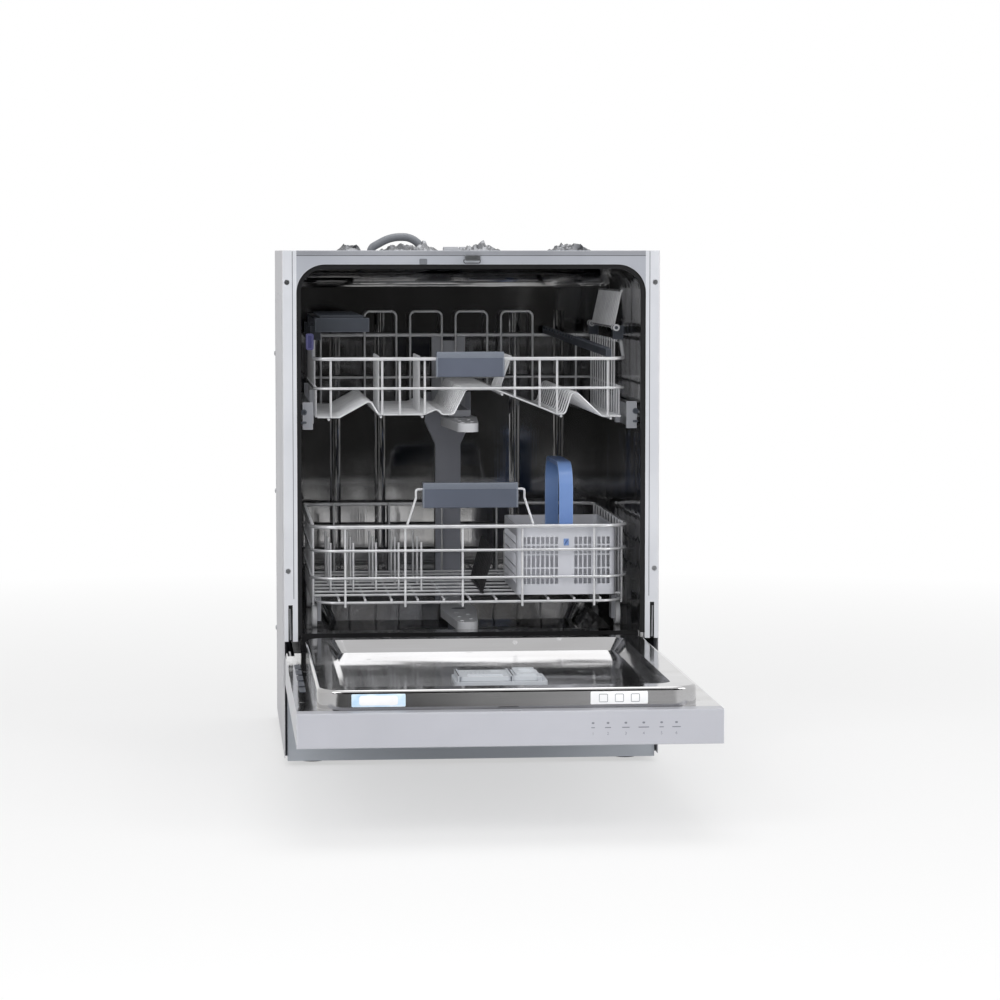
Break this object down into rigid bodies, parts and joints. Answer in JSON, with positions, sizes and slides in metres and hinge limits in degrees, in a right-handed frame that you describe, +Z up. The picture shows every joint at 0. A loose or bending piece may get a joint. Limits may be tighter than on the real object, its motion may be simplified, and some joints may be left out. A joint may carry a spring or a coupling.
{
  "type": "freestanding dishwasher",
  "caption": "Freestanding dishwasher with its drop-down door open: steel tub, sliding wire racks with cutlery basket and cup shelves, spray arms and a dispenser in the door.",
  "frame": {"origin": "on the floor, at the middle of the box around the machine with its door lying open", "axes": "+Y into the machine from the door, +X to the right seen from the door, +Z up"},
  "size_m": [0.598, 1.234, 0.8465],
  "materials": {
    "cabinet_paint": "satin",
    "side_paint": "satin",
    "base_grey": "matte",
    "kick_grey": "satin",
    "foot_black": "matte",
    "tub_steel": "bright",
    "plain_steel": "plain",
    "seal_black": "matte",
    "mat_bitumen": "crinkled",
    "hose_grey": "matte",
    "fitting_grey": "matte",
    "sump_grey": "matte",
    "pump_dark": "satin",
    "feed_slate": "satin",
    "arm_pale": "satin",
    "salt_cap_grey": "matte",
    "roller_white": "satin",
    "door_skin": "satin",
    "control_face": "satin",
    "dispenser_grey": "satin",
    "lid_grey": "satin",
    "wire_silver": "satin",
    "handle_slate": "satin",
    "tine_black": "matte",
    "basket_pale": "satin",
    "basket_blue": "satin",
    "shelf_dark": "matte"
  },
  "bodies": {
    "cabinet": {"base_tray": "base_grey", "levelling_feet": "foot_black", "kick_plate": "kick_grey", "side_panels": "side_paint", "front_posts": "cabinet_paint", "top_rail": "cabinet_paint", "rear_rail": "plain_steel", "tub_wrapper": "tub_steel", "tub_back": "tub_steel", "tub_floor": "tub_steel", "door_seal": "seal_black", "post_screws": "plain_steel", "roof_mat": "mat_bitumen", "roof_hose": "hose_grey", "hose_fittings": "fitting_grey", "hinge_brackets": "plain_steel", "latch_strike": "plain_steel", "sump": "sump_grey", "filter_plate": "plain_steel", "wash_pump": "pump_dark", "drain_pump": "pump_dark", "softener_tank": "fitting_grey", "inlet_valve": "fitting_grey", "feed_pipe": "feed_slate", "roller_studs": "plain_steel"},
    "filter": {"filter_cylinder": "fitting_grey"},
    "salt_cap": {"salt_cap": "salt_cap_grey"},
    "lower_arm": {"lower_spray_arm": "arm_pale"},
    "door": {"door_outer_panel": "door_skin", "door_liner": "tub_steel", "control_panel": "control_face", "hinge_arms": "plain_steel", "dispenser_housing": "dispenser_grey"},
    "detergent_lid": {"detergent_lid": "lid_grey"},
    "rinse_cap": {"rinse_aid_cap": "lid_grey"},
    "latch_hook": {"latch_hook": "plain_steel"},
    "lower_rack": {"lower_rack_wires": "wire_silver", "lower_handle": "handle_slate", "wheel_brackets": "fitting_grey", "cutlery_basket": "basket_pale", "basket_handle": "basket_blue"},
    "fold_tines": {"fold_tines": "tine_black"},
    "upper_rack": {"upper_rack_wires": "wire_silver", "upper_handle": "handle_slate", "upper_rails": "plain_steel", "rail_fittings": "fitting_grey", "upper_feed": "fitting_grey", "shelf_brackets": "shelf_dark", "glass_comb": "shelf_dark"},
    "upper_arm": {"upper_spray_arm": "arm_pale"},
    "cup_shelf_left": {"cup_shelf_left": "shelf_dark"},
    "cup_shelf_right": {"cup_shelf_right": "wire_silver"},
    "rack_wheel_front_left": {"rack_wheel_front_left": "roller_white"},
    "rack_wheel_rear_left": {"rack_wheel_rear_left": "roller_white"},
    "tub_roller_front_left": {"tub_roller_front_left": "roller_white"},
    "tub_roller_rear_left": {"tub_roller_rear_left": "roller_white"},
    "rack_wheel_front_right": {"rack_wheel_front_right": "roller_white"},
    "rack_wheel_rear_right": {"rack_wheel_rear_right": "roller_white"},
    "tub_roller_front_right": {"tub_roller_front_right": "roller_white"},
    "tub_roller_rear_right": {"tub_roller_rear_right": "roller_white"}
  },
  "joints": [
    {"name": "door_hinge", "type": "hinge", "parent": "cabinet", "child": "door", "pos_m": [0, 0.037, 0.162], "axis": [-1, 0, 0], "range_deg": [0, 90]},
    {"name": "lower_rack_slide", "type": "slide", "parent": "cabinet", "child": "lower_rack", "axis": [0, 1, 0], "range_m": [-0.5, 0]},
    {"name": "upper_rack_slide", "type": "slide", "parent": "cabinet", "child": "upper_rack", "axis": [0, 1, 0], "range_m": [-0.4, 0]},
    {"name": "lower_arm_spin", "type": "hinge", "parent": "cabinet", "child": "lower_arm", "pos_m": [0, 0.342, 0.205], "axis": [0, 0, 1], "continuous": true},
    {"name": "upper_arm_spin", "type": "hinge", "parent": "upper_rack", "child": "upper_arm", "pos_m": [0, 0.332, 0.527], "axis": [0, 0, 1], "continuous": true},
    {"name": "detergent_lid_slide", "type": "slide", "parent": "door", "child": "detergent_lid", "axis": [0, 1, 0], "range_m": [0, 0.06]},
    {"name": "rinse_cap_hinge", "type": "hinge", "parent": "door", "child": "rinse_cap", "pos_m": [0.06025, -0.373, 0.19955], "axis": [0, -1, 0], "range_deg": [-90, 0]},
    {"name": "latch_hook_pivot", "type": "hinge", "parent": "door", "child": "latch_hook", "pos_m": [0.028, -0.599, 0.154], "axis": [1, 0, 0], "range_deg": [0, 15]},
    {"name": "fold_tines_hinge", "type": "hinge", "parent": "lower_rack", "child": "fold_tines", "pos_m": [0.022, 0.24, 0.26925], "axis": [0, 1, 0], "range_deg": [-95, 0]},
    {"name": "cup_shelf_left_hinge", "type": "hinge", "parent": "upper_rack", "child": "cup_shelf_left", "pos_m": [-0.24, 0.32, 0.694], "axis": [0, -1, 0], "range_deg": [0, 75]},
    {"name": "cup_shelf_right_hinge", "type": "hinge", "parent": "upper_rack", "child": "cup_shelf_right", "pos_m": [0.24, 0.32, 0.694], "axis": [0, -1, 0], "range_deg": [0, 75]},
    {"name": "filter_twist", "type": "hinge", "parent": "cabinet", "child": "filter", "pos_m": [0.062, 0.262, 0.178], "axis": [0, 0, 1], "range_deg": [0, 90]},
    {"name": "salt_cap_turn", "type": "hinge", "parent": "cabinet", "child": "salt_cap", "pos_m": [-0.15, 0.182, 0.1783], "axis": [0, 0, 1], "continuous": true},
    {"name": "rack_wheel_front_left_spin", "type": "hinge", "parent": "lower_rack", "child": "rack_wheel_front_left", "pos_m": [-0.247, 0.179, 0.2283], "axis": [1, 0, 0], "continuous": true},
    {"name": "rack_wheel_rear_left_spin", "type": "hinge", "parent": "lower_rack", "child": "rack_wheel_rear_left", "pos_m": [-0.247, 0.475, 0.2283], "axis": [1, 0, 0], "continuous": true},
    {"name": "tub_roller_front_left_spin", "type": "hinge", "parent": "cabinet", "child": "tub_roller_front_left", "pos_m": [-0.2615, 0.116, 0.556], "axis": [1, 0, 0], "continuous": true},
    {"name": "tub_roller_rear_left_spin", "type": "hinge", "parent": "cabinet", "child": "tub_roller_rear_left", "pos_m": [-0.2615, 0.1505, 0.556], "axis": [1, 0, 0], "continuous": true},
    {"name": "rack_wheel_front_right_spin", "type": "hinge", "parent": "lower_rack", "child": "rack_wheel_front_right", "pos_m": [0.247, 0.179, 0.2283], "axis": [1, 0, 0], "continuous": true},
    {"name": "rack_wheel_rear_right_spin", "type": "hinge", "parent": "lower_rack", "child": "rack_wheel_rear_right", "pos_m": [0.247, 0.475, 0.2283], "axis": [1, 0, 0], "continuous": true},
    {"name": "tub_roller_front_right_spin", "type": "hinge", "parent": "cabinet", "child": "tub_roller_front_right", "pos_m": [0.2615, 0.116, 0.556], "axis": [1, 0, 0], "continuous": true},
    {"name": "tub_roller_rear_right_spin", "type": "hinge", "parent": "cabinet", "child": "tub_roller_rear_right", "pos_m": [0.2615, 0.1505, 0.556], "axis": [1, 0, 0], "continuous": true}
  ],
  "couplings": [
    {"joint": "rack_wheel_front_left_spin", "follows": "lower_rack_slide", "rad_per_m": -52.632},
    {"joint": "rack_wheel_rear_left_spin", "follows": "lower_rack_slide", "rad_per_m": -52.632},
    {"joint": "tub_roller_front_left_spin", "follows": "upper_rack_slide", "rad_per_m": -62.5},
    {"joint": "tub_roller_rear_left_spin", "follows": "upper_rack_slide", "rad_per_m": -62.5},
    {"joint": "rack_wheel_front_right_spin", "follows": "lower_rack_slide", "rad_per_m": -52.632},
    {"joint": "rack_wheel_rear_right_spin", "follows": "lower_rack_slide", "rad_per_m": -52.632},
    {"joint": "tub_roller_front_right_spin", "follows": "upper_rack_slide", "rad_per_m": -62.5},
    {"joint": "tub_roller_rear_right_spin", "follows": "upper_rack_slide", "rad_per_m": -62.5}
  ]
}
